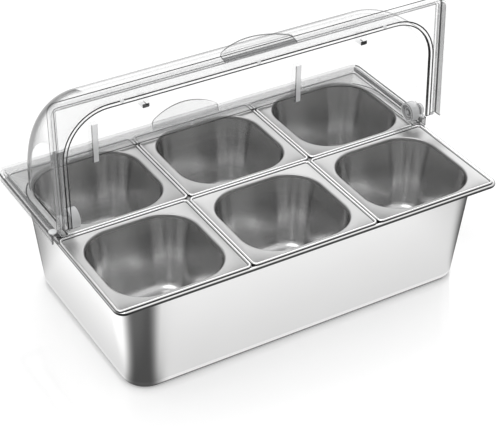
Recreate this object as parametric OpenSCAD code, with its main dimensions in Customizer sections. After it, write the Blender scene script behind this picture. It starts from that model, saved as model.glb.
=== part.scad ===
// Chilled serving tray with a two-part clear cover.
//
// A deep steel pan holds ice. Six shallower steel food pans stand over the ice in two rows
// of three, carried by the rolled rim of the ice pan and by a steel bar under the seam
// between the rows. Two clear half covers meet over that seam. The rear one rests on the
// food pans. The front one turns back over it on two hinge pins.
//
// X runs along the long side, +Y to the rear and +Z up. The origin is the middle of the
// underside of the ice pan. All sizes are in millimetres.

/* [Ice pan] */
// overall length over the rolled rim
rim_length = 530; // [500:1:560]
// overall width over the rolled rim
rim_width = 325; // [310:1:340]
// height of the crown of the rolled rim above the table
pan_height = 148; // [130:1:170]
// corner radius of the rim seen from above
rim_corner = 13; // [10:0.5:20]
// diameter of the rolled edge
curl = 5.5; // [4.5:0.1:7]
// flat shoulder between the wall and the rolled edge on the long sides
shoulder = 9.5; // [8.5:0.1:14]
// flat shoulder between the wall and the rolled edge at the two ends
end_shoulder = 12.5; // [11:0.1:14]
// corner radius of the wall seen from above
body_corner = 47; // [44:1:50]
// how far each wall leans in from the top to the floor
body_taper = 15.5; // [10:0.5:18]
// radius between the wall and the floor
floor_fillet = 9; // [5:0.5:15]
// sheet thickness
sheet = 0.8; // [0.6:0.1:1]

/* [Food pans] */
// depth from the flat flange to the underside of the floor
food_depth = 100; // [65:5:110]
// gap between two pans of a row
column_gap = 0.4; // [0.3:0.1:1]
// gap between the two rows
row_gap = 1; // [0.6:0.1:2]
// how far the rear row stands to the right and the front row to the left
row_shift = 2.3; // [0:0.1:2.5]
// corner radius of the flange
food_corner = 7.5; // [6:0.5:12]
// flange width on the left and right of the opening
side_flange = 12.3; // [11.5:0.1:16]
// flange width at the front and rear of the opening
end_flange = 6.8; // [6.2:0.1:9]
// corner radius of the opening
opening_corner = 48; // [40:1:55]
// how far each wall leans in from the top to the floor
food_taper = 13; // [12:0.5:20]
// radius between the wall and the floor
food_fillet = 12; // [6:1:20]
// sheet thickness
food_sheet = 0.7; // [0.5:0.1:0.8]
// width of the raised bead round the flange
bead = 4; // [3.6:0.1:4.4]
// bend radius between the flange and the wall
bend = 1.7; // [1:0.1:2]

/* [Support bar] */
// width of the bar under the seam between the rows
bar_width = 13; // [10:0.5:13.5]
// depth of its turned-down edges
bar_depth = 8; // [4:0.5:15]
// sheet thickness
bar_sheet = 1; // [0.8:0.1:1.2]

/* [Clear covers] */
// ledge between the round wall of the rear half and the front or rear edge of the rim
side_ledge = 21.5; // [20.5:0.5:26]
// ledge between the flat ends of the rear half and the ends of the rim
end_ledge = 14; // [13:0.5:20]
// radius between the round wall and the flat ends
dome_blend = 55; // [30:1:70]
// wall thickness
wall = 2.5; // [2:0.1:3]
// radial gap between the two halves
nest_gap = 2; // [1.8:0.1:3]
// gap between the flat ends of the two halves
end_gap = 1; // [0.8:0.1:2]
// height of the hinge line above the food pan beads
hinge_height = 22.9; // [20:0.1:30]
// how far the flange reaches past the rim at the two ends
overhang_x = 5; // [4:0.5:8]
// how far the flange reaches past the rim at the front and rear
overhang_y = 4; // [3.8:0.1:8]
// corner radius of the flange
flange_corner = 11; // [10:0.5:20]
// width of the raised border
border = 9; // [8:0.5:10]
// rise of the border over the flange
border_rise = 4; // [3:0.5:6]
// how far the outer edge hangs below the flange
skirt_edge = 7; // [4:0.5:9]
// gap between the front flange and the food pans when closed
rest_gap = 0.4; // [0.3:0.1:1]

/* [Front half opened] */
// angle between the closed and the shown position
open_angle = 92.2; // [91:0.1:94]
// gap left under the rear edge of the opened half
stop_gap = 0.4; // [0.3:0.1:1]

/* [Cover details] */
// width of a grip
grip_width = 98; // [60:1:140]
// height of a grip at its sides over the lower edge of the skirt
grip_height = 15; // [12:0.5:24]
// extra height of a grip at its middle
grip_arch = 15; // [4:1:18]
// outward lean of a grip
grip_lean = 14; // [0:1:20]
// gap between the foot of a grip and the rim
grip_gap = 0.7; // [0.5:0.1:1.2]
// heights of the two ridges on the outer face of a grip
low_ridge = 5; // [2:0.5:8]
high_ridge = 13; // [9:0.5:14]
// width of the groove under the flange that joins the studs
groove_width = 1.6; // [0.8:0.1:2.4]
// depth of that groove
groove_depth = 0.5; // [0.3:0.1:1]
// distance of the inner ribs from the ends of the rim
rib_inset = 115; // [85:1:180]
// width of an inner rib
rib_width = 9; // [5:0.5:14]
// how far an inner rib stands in from the wall
rib_reach = 12; // [6:0.5:16]
// height of the ribs of the rear half
rib_height = 55; // [20:1:70]
// height of the ribs of the front half
lug_height = 14; // [6:0.5:15]
// distance of the outer locating studs from the ends of the rim
stud_inset = 85; // [75:1:105]
// diameter of a locating stud
stud_diameter = 5; // [3:0.5:5.5]

/* [Hinge] */
// diameter of the hinge pin
pin_diameter = 8; // [5:0.5:10]
// radial play of the front half on the pin
pin_play = 0.06; // [0.02:0.01:0.1]
// radius of the round ears
ear_radius = 14; // [11:0.5:16]
// radius of the knob inside the rear half
knob_radius = 13; // [8:0.5:14]
// length of the knob
knob_length = 12; // [8:0.5:16]
// radius of the outer cap
cap_radius = 7.5; // [6:0.5:10]
// thickness of the outer cap
cap_length = 5; // [3:0.5:8]
// gap between the cap and the front half
cap_gap = 0.4; // [0.3:0.1:1]

/* [Hidden] */
$fn = 96;
rim_x = rim_length / 2;
rim_y = rim_width / 2;
body_x = rim_x - end_shoulder;
body_y = rim_y - shoulder;
shoulder_top = pan_height - bar_sheet;
rim_bend = 1.5;
stub = rim_corner - curl - 0.9;

// food pans
leg = 0.35;
row_end = rim_y - curl / 2 + leg;
column = floor(20 * (rim_x - curl / 2) / 3) / 10;
food_x = (column - column_gap) / 2;
food_y = (row_end - row_gap / 2) / 2;
row = row_gap / 2 + food_y;
plate_top = pan_height + food_sheet;
bead_top = plate_top + bead / 2;

// cover
hinge_z = bead_top + hinge_height;
dome_radius = rim_y - side_ledge;
front_radius = dome_radius + nest_gap + wall;
rear_end = rim_x - end_ledge;
rib_place = rim_x - rib_inset;
stud_place = rim_x - stud_inset;
front_end = rear_end + end_gap + wall;
front_blend = dome_blend + wall + 0.5;
flange_x = rim_x + overhang_x;
flange_y = rim_y + overhang_y;
split = 0.5;
overlap = asin((hinge_height - wall - stop_gap) / front_radius) - (open_angle - 90);
stud_line = row + food_y - end_flange - 5;
stud_length = 2.1;
pin_radius = pin_diameter / 2;

steel = [0.80, 0.81, 0.82];
clear = [0.90, 0.93, 0.95, 0.35];
frosted = [0.85, 0.87, 0.88, 0.7];

// the piece to draw

// Points of an arc round c, from angle a0 to a1.
function arc(c, r, a0, a1, n) =
    [for (i = [0:n]) let (a = a0 + (a1 - a0) * i / n) c + r * [cos(a), sin(a)]];

// Rectangle with round corners, given by its half sizes.
module round_rect(x, y, r) {
    square([2 * (x - r), 2 * y], center = true);
    square([2 * x, 2 * (y - r)], center = true);
    for (sx = [-1, 1], sy = [-1, 1]) {
        translate([sx * (x - r), sy * (y - r)]) circle(r);
    }
}

// Flat sheet between an outer and an inner round rectangle, each [half x, half y, corner].
module flat_ring(outer, inner, low, thick) {
    translate([0, 0, low])
        linear_extrude(thick)
            difference() {
                round_rect(outer[0], outer[1], outer[2]);
                round_rect(inner[0], inner[1], inner[2]);
            }
}

// Carries a section round a rectangle of corner axes at (ax, ay). The section's first
// coordinate is the distance outwards from the line through the corner axes.
module swept(ax, ay) {
    for (turn = [0, 180]) {
        rotate([0, 0, turn]) {
            translate([ax, ay, 0]) rotate_extrude(angle = 90) children();
            translate([-ax, ay, 0]) rotate([0, 0, 90]) rotate_extrude(angle = 90) children();
            translate([-ax, ay, 0]) rotate([90, 0, 90]) linear_extrude(2 * ax) children();
            translate([ax, ay, 0])
                rotate([0, 0, -90])
                    rotate([90, 0, 90])
                        linear_extrude(2 * ay) children();
        }
    }
}

// Section of a pressed pan from its floor to the bend at the top of its wall.
module tray_section(reach, low, top, taper, fillet, bend_radius, t) {
    foot = reach - taper - fillet;
    hip = [reach + bend_radius, top - t - bend_radius];
    polygon(concat(
        [[0, low]],
        arc([foot, low + fillet], fillet, -90, 0, 8),
        arc(hip, bend_radius, 180, 90, 5),
        arc(hip, bend_radius + t, 90, 180, 5),
        arc([foot, low + fillet], fillet - t, 0, -90, 8),
        [[0, low + t]]
    ));
}

// Rolled edge of the ice pan, open on the inside, with the end of the shoulder.
module rim_section() {
    centre = rim_corner - curl / 2;
    low = shoulder_top - sheet;
    translate([centre, pan_height - curl / 2])
        difference() {
            circle(curl / 2);
            circle(curl / 2 - sheet);
            translate([-curl, -1.6]) square([curl - 1, low - pan_height + curl / 2 + 1.6]);
        }
    translate([stub, low]) square([centre - curl / 2 + 0.85 - stub, sheet]);
}

module base_pan() {
    ax = body_x - body_corner;
    ay = body_y - body_corner;
    color(steel) {
        swept(ax, ay)
            tray_section(body_corner, 0, shoulder_top, body_taper, floor_fillet, rim_bend, sheet);
        translate([-ax, -ay, 0]) cube([2 * ax, 2 * ay, sheet]);
        flat_ring([rim_x - rim_corner + stub, rim_y - rim_corner + stub, stub],
                  [body_x + rim_bend, body_y + rim_bend, body_corner + rim_bend],
                  shoulder_top - sheet, sheet);
        swept(rim_x - rim_corner, rim_y - rim_corner) rim_section();
    }
}

// Raised bead round a food pan, open below.
module bead_section() {
    r = bead / 2;
    translate([food_corner - r, 0]) {
        difference() {
            union() {
                translate([0, plate_top]) circle(r);
                translate([-r, pan_height]) square([bead, food_sheet]);
            }
            translate([0, plate_top]) circle(r - food_sheet);
            translate([-r + food_sheet, pan_height - r])
                square([bead - 2 * food_sheet, food_sheet + r]);
            translate([-r, pan_height - 2 * r]) square([bead, 2 * r]);
        }
    }
}

// One food pan, in the column and row given.
module food_pan(place) {
    x = food_x - side_flange;
    y = food_y - end_flange;
    ax = x - opening_corner;
    ay = y - opening_corner;
    low = plate_top - food_depth;
    inner = food_corner - bead;
    color(steel)
        translate([place[0] * column + place[1] * row_shift, place[1] * row, 0]) {
            swept(ax, ay)
                tray_section(opening_corner - bend, low, plate_top, food_taper, food_fillet,
                             bend, food_sheet);
            translate([-ax, -ay, low]) cube([2 * ax, 2 * ay, food_sheet]);
            flat_ring([food_x - bead, food_y - bead, inner], [x, y, opening_corner],
                      pan_height, food_sheet);
            swept(food_x - food_corner, food_y - food_corner) bead_section();
        }
}

module front_left_pan() {
    food_pan([-1, -1]);
}

module front_middle_pan() {
    food_pan([0, -1]);
}

module front_right_pan() {
    food_pan([1, -1]);
}

module rear_left_pan() {
    food_pan([-1, 1]);
}

module rear_middle_pan() {
    food_pan([0, 1]);
}

module rear_right_pan() {
    food_pan([1, 1]);
}

// Channel under the seam between the rows, with flat ends lying on the shoulder of the rim.
module support_bar() {
    span = body_x - sheet - 2;
    tab = rim_x - curl - 0.5;
    color(steel) {
        translate([-tab, -bar_width / 2, shoulder_top]) cube([2 * tab, bar_width, bar_sheet]);
        for (s = [-1, 1]) {
            translate([-span, s * (bar_width - bar_sheet) / 2 - bar_sheet / 2,
                       shoulder_top - bar_depth])
                cube([2 * span, bar_sheet, bar_depth]);
        }
    }
}

// Half section of a cover: first coordinate from the hinge line out, second along it.
module dome_section(r, x, b) {
    translate([0, -x]) square([r - b, 2 * x]);
    translate([0, b - x]) square([r, 2 * (x - b)]);
    for (s = [-1, 1]) {
        translate([r - b, s * (x - b)]) circle(b);
    }
}

// The same section as a wall of even thickness.
module dome_wall(r, x, b) {
    difference() {
        dome_section(r, x, b);
        dome_section(r - wall, x - wall, b - wall);
    }
}

// Plan of a flange, open at the hinge line, inset by d on three sides.
module flange_plan(d, start) {
    x = flange_x - d;
    y = flange_y - d;
    r = flange_corner - d;
    translate([-x, start]) square([2 * x, y - r - start]);
    translate([r - x, start]) square([2 * (x - r), y - start]);
    for (s = [-1, 1]) {
        translate([s * (x - r), y - r]) circle(r);
    }
}

// Grip: a plate with an arched top edge, rising from the skirt, with two ridges.
module grip() {
    round = 4;
    arch = (pow(grip_width / 2, 2) + pow(grip_arch, 2)) / (2 * grip_arch);
    top = grip_height + grip_arch;
    half = asin((grip_width / 2 - round) / arch);
    rotate([90 - grip_lean, 0, 0]) {
        translate([0, 0, -wall])
            linear_extrude(wall)
                hull() {
                    for (s = [-1, 1]) {
                        translate([s * (grip_width / 2 - round), grip_height - round + 1])
                            circle(round);
                    }
                    polygon(concat(
                        [[-grip_width / 2, 0]],
                        arc([0, top - arch], arch, 90 + half, 90 - half, 14),
                        [[grip_width / 2, 0]]
                    ));
                }
        for (h = [low_ridge, high_ridge]) {
            translate([-grip_width / 2 + 2, h, -wall - 0.8])
                cube([grip_width - 4, 1.6, 1.6]);
        }
    }
}

// Rib or lug on the inside of the round wall, from the flange up.
module rib(r, low, height) {
    translate([-rib_width / 2, 0, 0])
        rotate([90, 0, 90])
            linear_extrude(rib_width)
                intersection() {
                    translate([r - wall - rib_reach, low]) square([rib_reach + wall, height]);
                    union() {
                        circle(r - wall / 2);
                        translate([0, -2 * r]) square([r - wall / 2, 2 * r]);
                    }
                }
}

// Plan of the groove under the flange, at distance d outside the round wall.
module groove_plan(d, r, x, b) {
    out = d + groove_width / 2;
    in = d - groove_width / 2;
    intersection() {
        difference() {
            rotate(90) dome_section(r + out, x + out, b + out);
            rotate(90) dome_section(r + in, x + in, b + in);
            for (k = [-1:1]) {
                translate([k * stud_place, stud_line]) circle(d = stud_diameter + 2);
            }
        }
        translate([-flange_x, split + wall]) square([2 * flange_x, flange_y]);
    }
}

// Half of the cover, lying to the rear of the hinge line, which runs along X through zero.
module half_cover(r, x, b, drop, over, rib_high, bore) {
    low = -drop;
    difference() {
        union() {
            rotate([90, 0, 90]) rotate_extrude(angle = 90 + over) dome_wall(r, x, b);
            translate([0, 0, low + wall])
                linear_extrude(drop - wall) rotate(90) dome_wall(r, x, b);
            for (s = [-1, 1]) {
                translate([s * (x - wall / 2), 0, 0])
                    rotate([0, 90, 0])
                        cylinder(r = ear_radius, h = wall, center = true);
            }
            translate([0, 0, low - skirt_edge])
                linear_extrude(skirt_edge)
                    difference() {
                        flange_plan(0, split);
                        flange_plan(wall, 0);
                    }
            translate([0, 0, low])
                linear_extrude(wall)
                    difference() {
                        flange_plan(0, split);
                        rotate(90) dome_section(r - wall, x - wall, b - wall);
                        difference() {
                            flange_plan(wall, split + wall);
                            flange_plan(border - wall, 0);
                        }
                    }
            translate([0, 0, low + wall])
                linear_extrude(border_rise - wall)
                    difference() {
                        flange_plan(0, split);
                        flange_plan(border, 0);
                        difference() {
                            flange_plan(wall, split + wall);
                            flange_plan(border - wall, 0);
                        }
                    }
            translate([0, 0, low + border_rise])
                linear_extrude(wall)
                    difference() {
                        flange_plan(0, split);
                        flange_plan(border, 0);
                    }
            translate([0, rim_y + grip_gap, low - skirt_edge]) grip();
            for (s = [-1, 1]) {
                translate([s * rib_place, 0, 0]) rib(r, low, rib_high);
            }
            for (k = [-1:1]) {
                translate([k * stud_place, stud_line, low - stud_length])
                    cylinder(d = stud_diameter, h = stud_length + 1);
            }
        }
        for (s = [-1, 1]) {
            translate([s * (x - wall / 2), 0, 0])
                rotate([0, 90, 0])
                    cylinder(r = bore, h = 3 * wall, center = true);
        }
        translate([0, 0, low - 1])
            linear_extrude(1 + groove_depth)
                groove_plan(stud_line - r, r, x, b);
    }
}

module rear_cover() {
    button = 6;
    color(clear)
        translate([0, 0, hinge_z]) {
            half_cover(dome_radius, rear_end, dome_blend, hinge_height, 0, rib_height,
                       pin_radius);
            for (s = [-1, 1]) {
                translate([s * (flange_x - border / 2), button + split,
                           border_rise + wall - hinge_height])
                    cylinder(r = button - 1, h = 1.2);
            }
        }
}

module front_cover() {
    color(clear)
        translate([0, 0, hinge_z])
            rotate([-open_angle, 0, 0])
                rotate([0, 0, 180])
                    half_cover(front_radius, front_end, front_blend, hinge_height - rest_gap,
                               overlap, lug_height, pin_radius + pin_play);
}

// Pin with a ringed knob inside the cover and its shank through both ears, knob towards -X.
module hinge_pin() {
    ear_face = rear_end - wall;
    shank = front_end + cap_gap + cap_length - 1.5 - ear_face;
    color(frosted)
        translate([ear_face, 0, hinge_z])
            rotate([0, 90, 0]) {
                rotate_extrude() {
                    translate([0, -3]) square([knob_radius, 3]);
                    translate([knob_radius - 2.5, -knob_length]) square([2.5, knob_length]);
                    translate([knob_radius * 0.42, 2.5 - knob_length])
                        square([2, knob_length - 2.5]);
                    translate([0, 1 - knob_length]) square([3, knob_length - 1]);
                }
                cylinder(r = pin_radius, h = shank);
            }
}

// Slotted cap pressed on the outer end of a pin.
module pin_cap() {
    seat = cap_length - 1.5;
    color(frosted)
        translate([front_end + cap_gap, 0, hinge_z])
            rotate([0, 90, 0])
                difference() {
                    cylinder(r = cap_radius, h = cap_length);
                    translate([0, 0, -1]) cylinder(r = pin_radius, h = seat + 1);
                    translate([-cap_radius, -0.8, cap_length - 0.9])
                        cube([2 * cap_radius, 1.6, 2]);
                }
}

module right_hinge_pin() {
    hinge_pin();
}

module left_hinge_pin() {
    rotate([0, 0, 180]) hinge_pin();
}

module right_pin_cap() {
    pin_cap();
}

module left_pin_cap() {
    rotate([0, 0, 180]) pin_cap();
}

base_pan();
front_left_pan();
front_middle_pan();
front_right_pan();
rear_left_pan();
rear_middle_pan();
rear_right_pan();
support_bar();
rear_cover();
front_cover();
left_hinge_pin();
right_hinge_pin();
left_pin_cap();
right_pin_cap();
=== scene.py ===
"""Looks of a chilled serving tray: a steel ice pan, six food pans and a clear two-part cover.

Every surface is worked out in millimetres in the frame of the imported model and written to
its mesh in metres. A pan is a section carried round a rectangle with round corners. A cover
half is a section carried round three sides of one, with its upper part turned about the
hinge line.
"""

import logging
import math
from dataclasses import dataclass, field, replace
from enum import Enum
from typing import Any, Sequence

import bmesh
import bpy
import numpy as np
from mathutils import Matrix, Vector


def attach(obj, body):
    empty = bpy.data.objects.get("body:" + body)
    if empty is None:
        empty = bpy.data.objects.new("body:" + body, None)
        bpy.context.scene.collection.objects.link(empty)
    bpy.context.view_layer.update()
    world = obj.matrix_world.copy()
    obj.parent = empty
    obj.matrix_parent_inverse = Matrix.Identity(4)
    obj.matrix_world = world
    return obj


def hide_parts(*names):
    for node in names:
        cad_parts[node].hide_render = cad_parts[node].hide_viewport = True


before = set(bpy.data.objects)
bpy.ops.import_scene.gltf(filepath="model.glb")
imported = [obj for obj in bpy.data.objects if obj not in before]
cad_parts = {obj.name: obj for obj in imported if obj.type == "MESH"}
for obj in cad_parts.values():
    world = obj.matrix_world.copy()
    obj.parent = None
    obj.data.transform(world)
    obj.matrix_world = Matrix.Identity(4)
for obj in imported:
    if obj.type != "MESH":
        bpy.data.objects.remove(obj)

LOG = logging.getLogger("serving_tray")
MM = 0.001
WHITE = (1.0, 1.0, 1.0, 1.0)
IMAGE_WIDTH = 500.0
MERGE = 0.01 * MM
DEGENERATE = 0.004 * MM


class Body(Enum):
    """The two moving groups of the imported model."""

    TRAY = "tray"
    FRONT_HALF = "front_half"


class End(Enum):
    """The left or right end of the tray, as the sign of X."""

    LEFT = -1
    RIGHT = 1


def add_object(name: str, data: bpy.types.ID) -> bpy.types.Object:
    """Put a mesh, lamp or camera into the scene as an object at the origin.

    Args:
        name: the object's name.
        data: the mesh, lamp or camera.

    Returns:
        The object.
    """
    thing = bpy.data.objects.new(name, data)
    bpy.context.scene.collection.objects.link(thing)
    return thing


# Shader nodes as expressions


class Wire:
    """The output of a node. Arithmetic on it adds Math nodes."""

    def __init__(self, graph: "Graph", socket: Any) -> None:
        """Keep the graph and the socket that the value comes from."""
        self.graph = graph
        self.socket = socket

    def _math(self, operation: str, *values: Any) -> "Wire":
        """Add one Math node.

        Args:
            operation: the node's operation.
            values: its inputs in order, wires or numbers.

        Returns:
            The node's output.
        """
        sockets = {place: value for place, value in enumerate(values)}
        return self.graph.add("ShaderNodeMath", {"operation": operation}, sockets)

    def __add__(self, other: Any) -> "Wire":
        """Sum."""
        return self._math("ADD", self, other)

    def __radd__(self, other: Any) -> "Wire":
        """Sum with a number on the left."""
        return self._math("ADD", other, self)

    def __sub__(self, other: Any) -> "Wire":
        """Difference."""
        return self._math("SUBTRACT", self, other)

    def __rsub__(self, other: Any) -> "Wire":
        """Difference with a number on the left."""
        return self._math("SUBTRACT", other, self)

    def __mul__(self, other: Any) -> "Wire":
        """Product."""
        return self._math("MULTIPLY", self, other)

    def __rmul__(self, other: Any) -> "Wire":
        """Product with a number on the left."""
        return self._math("MULTIPLY", other, self)

    def __truediv__(self, other: Any) -> "Wire":
        """Quotient."""
        return self._math("DIVIDE", self, other)

    def __pow__(self, other: Any) -> "Wire":
        """Power."""
        return self._math("POWER", self, other)

    def __neg__(self) -> "Wire":
        """Negative."""
        return self._math("MULTIPLY", self, -1.0)

    def __abs__(self) -> "Wire":
        """Size without sign."""
        return self._math("ABSOLUTE", self)

    def larger(self, other: Any) -> "Wire":
        """The larger of this and the other value."""
        return self._math("MAXIMUM", self, other)

    def step(self, low: float, high: float) -> "Wire":
        """Smooth step.

        Args:
            low: value up to which it is 0.
            high: value from which it is 1.

        Returns:
            The step.
        """
        settings = {"interpolation_type": "SMOOTHSTEP", "clamp": True}
        sockets = {"Value": self, "From Min": low, "From Max": high}
        return self.graph.add("ShaderNodeMapRange", settings, sockets)


class Graph:
    """The node tree of one material or of the world."""

    def __init__(self, tree: bpy.types.NodeTree) -> None:
        """Empty the tree and keep it."""
        self.tree = tree
        tree.nodes.clear()

    def add(self, kind: str, settings: dict | None = None, sockets: dict | None = None,
            out: int | str | None = 0) -> Wire | None:
        """Add a node.

        Args:
            kind: the node's type.
            settings: its own properties, set first.
            sockets: values or wires for its inputs, by name or number.
            out: the output that is returned, or None for a node that has none.

        Returns:
            The named output as a wire.
        """
        node = self.tree.nodes.new(kind)
        for name, value in (settings or {}).items():
            setattr(node, name, value)
        for name, value in (sockets or {}).items():
            socket = node.inputs[name]
            if isinstance(value, Wire):
                self.tree.links.new(value.socket, socket)
            else:
                socket.default_value = value
        return None if out is None else Wire(self, node.outputs[out])

    def place(self) -> Wire:
        """Object coordinates."""
        return self.add("ShaderNodeTexCoord", out="Object")

    def axes(self, vector: Wire) -> tuple[Wire, Wire, Wire]:
        """The three numbers of a vector.

        Args:
            vector: the vector.

        Returns:
            Its X, Y and Z.
        """
        first = self.add("ShaderNodeSeparateXYZ", sockets={0: vector})
        node = first.socket.node
        return first, Wire(self, node.outputs[1]), Wire(self, node.outputs[2])

    def noise(self, scale: tuple[float, float, float], detail: float = 3.0,
              roughness: float = 0.6) -> Wire:
        """Noise on Object coordinates.

        Args:
            scale: how many cells there are in a metre along X, Y and Z.
            detail: octaves.
            roughness: weight of the finer octaves.

        Returns:
            A value round 0.5.
        """
        where = self.add("ShaderNodeMapping", sockets={"Vector": self.place(), "Scale": scale})
        return self.add("ShaderNodeTexNoise", sockets={
            "Vector": where, "Scale": 1.0, "Detail": detail, "Roughness": roughness})

    def mix_colour(self, factor: Any, first: Any, second: Any) -> Wire:
        """Mix of two colours.

        Args:
            factor: 0 for the first colour, 1 for the second.
            first: a colour or a wire.
            second: a colour or a wire.

        Returns:
            The mixed colour.
        """
        node = self.add("ShaderNodeMix", {"data_type": "RGBA"}, out=2)
        inputs = node.socket.node.inputs
        for number, value in ((0, factor), (6, first), (7, second)):
            if isinstance(value, Wire):
                self.tree.links.new(value.socket, inputs[number])
            else:
                inputs[number].default_value = value
        return node

    def bump(self, height: Wire, strength: float, distance: float) -> Wire:
        """Normal bent by a height."""
        return self.add("ShaderNodeBump", sockets={
            "Height": height, "Strength": strength, "Distance": distance}, out="Normal")

    def finish(self, shader: Wire, kind: str = "ShaderNodeOutputMaterial") -> None:
        """Add the output node and link the shader to it."""
        self.add(kind, sockets={"Surface": shader}, out=None)


def new_material(name: str) -> tuple[bpy.types.Material, Graph]:
    """A new material with an empty tree.

    Args:
        name: the material's name.

    Returns:
        The material and its tree.
    """
    material = bpy.data.materials.new(name)
    material.use_nodes = True
    return material, Graph(material.node_tree)


def grey(value: float, warm: float = 0.0) -> tuple[float, float, float, float]:
    """A grey, turned slightly to a warm or cool tone."""
    return (value * (1 + warm), value, value * (1 - warm), 1.0)


# Finishes


@dataclass(frozen=True)
class BrushedSteel:
    """Sheet steel with fine brushing marks.

    Args:
        name: the material's name.
        tone: reflectance.
        roughness: mean roughness.
        grain: cells in a metre along X, Y and Z; large numbers lie across the brushing.
        contrast: share by which the marks are darker or lighter than the tone.
        depth: height of the marks in metres.
        foot_line: whether the thin painted highlight line and the painted dark line of contact
            shade along the lower edge are drawn.
        low_tone: how much of the tone is left at the floor of a food pan, as painted shade that
            darkens the deep hollow.
    """

    name: str
    tone: float = 0.80
    roughness: float = 0.26
    grain: tuple[float, float, float] = (6.0, 6.0, 1800.0)
    contrast: float = 0.10
    depth: float = 0.000012
    foot_line: bool = False
    low_tone: float = 1.0

    def make(self) -> bpy.types.Material:
        """Build the material: brushing marks, slow cloudiness and, where asked for, painted
        shade towards a pan's floor and the thin painted highlight and painted shade lines along
        the lower edge.

        Returns:
            The material.
        """
        material, graph = new_material(self.name)
        marks = graph.noise(self.grain, detail=3.0, roughness=0.6)
        cloud = graph.noise((14.0, 14.0, 14.0), detail=2.0)
        shade = 0.5 + (marks - 0.5) * 1.2 + (cloud - 0.5) * 0.6
        dark = grey(self.tone * (1 - self.contrast), 0.004)
        light = grey(min(self.tone * (1 + self.contrast), 0.97))
        colour, metal = graph.mix_colour(shade, dark, light), 1.0
        _, _, height = graph.axes(graph.place())
        # Painted shade: the colour darkens from the pan's wall down to its floor.
        if self.low_tone < 1.0:
            low = self.tone * self.low_tone
            floor = graph.mix_colour(shade, grey(low * 0.96), grey(low * 1.04))
            colour = graph.mix_colour(height.step(0.052, 0.105), floor, colour)
        # Painted highlight band on the foot's fillet, and below it a painted dark line of
        # contact shade that is not metallic, so that it stays dark.
        if self.foot_line:
            colour = graph.mix_colour(
                height.step(0.0062, 0.0070) * (1 - height.step(0.0100, 0.0120)), colour,
                grey(1.0))
            metal = height.step(0.0050, 0.0060)
            colour = graph.mix_colour(metal, grey(0.02), colour)
        roughness = self.roughness + 0.06 * (marks - 0.5) + 0.04 * (cloud - 0.5)
        normal = graph.bump(marks, 0.15, self.depth)
        graph.finish(graph.add("ShaderNodeBsdfPrincipled", sockets={
            "Base Color": colour, "Metallic": metal, "Roughness": roughness,
            "Specular IOR Level": 0.0, "Normal": normal}, out="BSDF"))
        return material


@dataclass(frozen=True)
class BrightSteel:
    """Polished steel of rolled edges and beads.

    Args:
        name: the material's name.
        tone: reflectance.
        roughness: mean roughness.
    """

    name: str
    tone: float = 0.86
    roughness: float = 0.12

    def make(self) -> bpy.types.Material:
        """Build the material, with faint wear in its polish.

        Returns:
            The material.
        """
        material, graph = new_material(self.name)
        wear = graph.noise((60.0, 60.0, 60.0), detail=3.0)
        colour = graph.mix_colour(wear, grey(self.tone * 0.95), grey(min(1.0, self.tone * 1.05)))
        graph.finish(graph.add("ShaderNodeBsdfPrincipled", sockets={
            "Base Color": colour, "Metallic": 1.0,
            "Roughness": self.roughness + 0.06 * (wear - 0.5)}, out="BSDF"))
        return material


@dataclass(frozen=True)
class ClearPlastic:
    """Clear moulded plastic: see-through face on, with a painted dark outline of shade where it
    turns away.

    Args:
        name: the material's name.
        tone: grey of the plastic face on.
        line: grey of its outline.
        body: how much of it shows face on.
        edge: how much shows at the outline.
        start: facing value, 0 face on and 1 edge on, at which the outline begins.
        full: facing value at which it is complete.
        roughness: of its gloss.
    """

    name: str
    tone: float = 0.80
    line: float = 0.10
    body: float = 0.03
    edge: float = 0.70
    start: float = 0.78
    full: float = 0.93
    roughness: float = 0.06

    def make(self) -> bpy.types.Material:
        """Build the material, whose outline grows as the surface turns edge on.

        Returns:
            The material.
        """
        material, graph = new_material(self.name)
        facing = graph.add("ShaderNodeLayerWeight", sockets={"Blend": 0.5}, out="Facing")
        flow = graph.noise((9.0, 9.0, 9.0), detail=2.0)
        # Painted shade: colour and alpha turn to the outline's dark grey as the surface turns
        # edge on.
        turned = facing.step(self.start, self.full)
        alpha = self.body * (0.7 + 0.6 * flow) + (self.edge - self.body) * turned
        colour = graph.mix_colour(turned, grey(self.tone, -0.008), grey(self.line, -0.01))
        graph.finish(graph.add("ShaderNodeBsdfPrincipled", sockets={
            "Base Color": colour, "Roughness": self.roughness + 0.03 * flow,
            "IOR": 1.3, "Alpha": alpha}, out="BSDF"))
        return material


# Paths and sections


@dataclass
class Ring:
    """A closed path round a rectangle with round corners, as corner axes and outward normals.

    A point at distance d outwards from the rectangle of corner axes is axis + d * normal.

    Args:
        axis_x: half the distance between the corner axes along X.
        axis_y: the same along Y.
        corner_steps: steps in each corner.
        straight_steps: steps along each side.
    """

    axis_x: float
    axis_y: float
    corner_steps: int = 14
    straight_steps: int = 6

    def columns(self) -> tuple[np.ndarray, np.ndarray]:
        """Axis points and normals of all columns.

        Each quarter turns through its corner and then runs along the next side. On a
        corner the axis point stays and the normal turns; on a side the normal stays.

        Returns:
            Two arrays of shape (columns, 2).
        """
        signs = np.array([(1, 1), (-1, 1), (-1, -1), (1, -1)], float)
        axes = signs * [self.axis_x, self.axis_y]
        points, normals = [], []
        for quarter in range(4):
            angle = (quarter + np.linspace(0, 1, self.corner_steps + 1)) * math.pi / 2
            points.append(np.repeat(axes[quarter][None], len(angle), 0))
            normals.append(np.stack([np.cos(angle), np.sin(angle)], 1))
            part = np.linspace(0, 1, self.straight_steps + 1)[1:-1, None]
            following = axes[(quarter + 1) % 4]
            points.append(axes[quarter] + part * (following - axes[quarter]))
            normals.append(np.repeat(normals[-1][-1:], len(part), 0))
        return np.concatenate(points), np.concatenate(normals)


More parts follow.
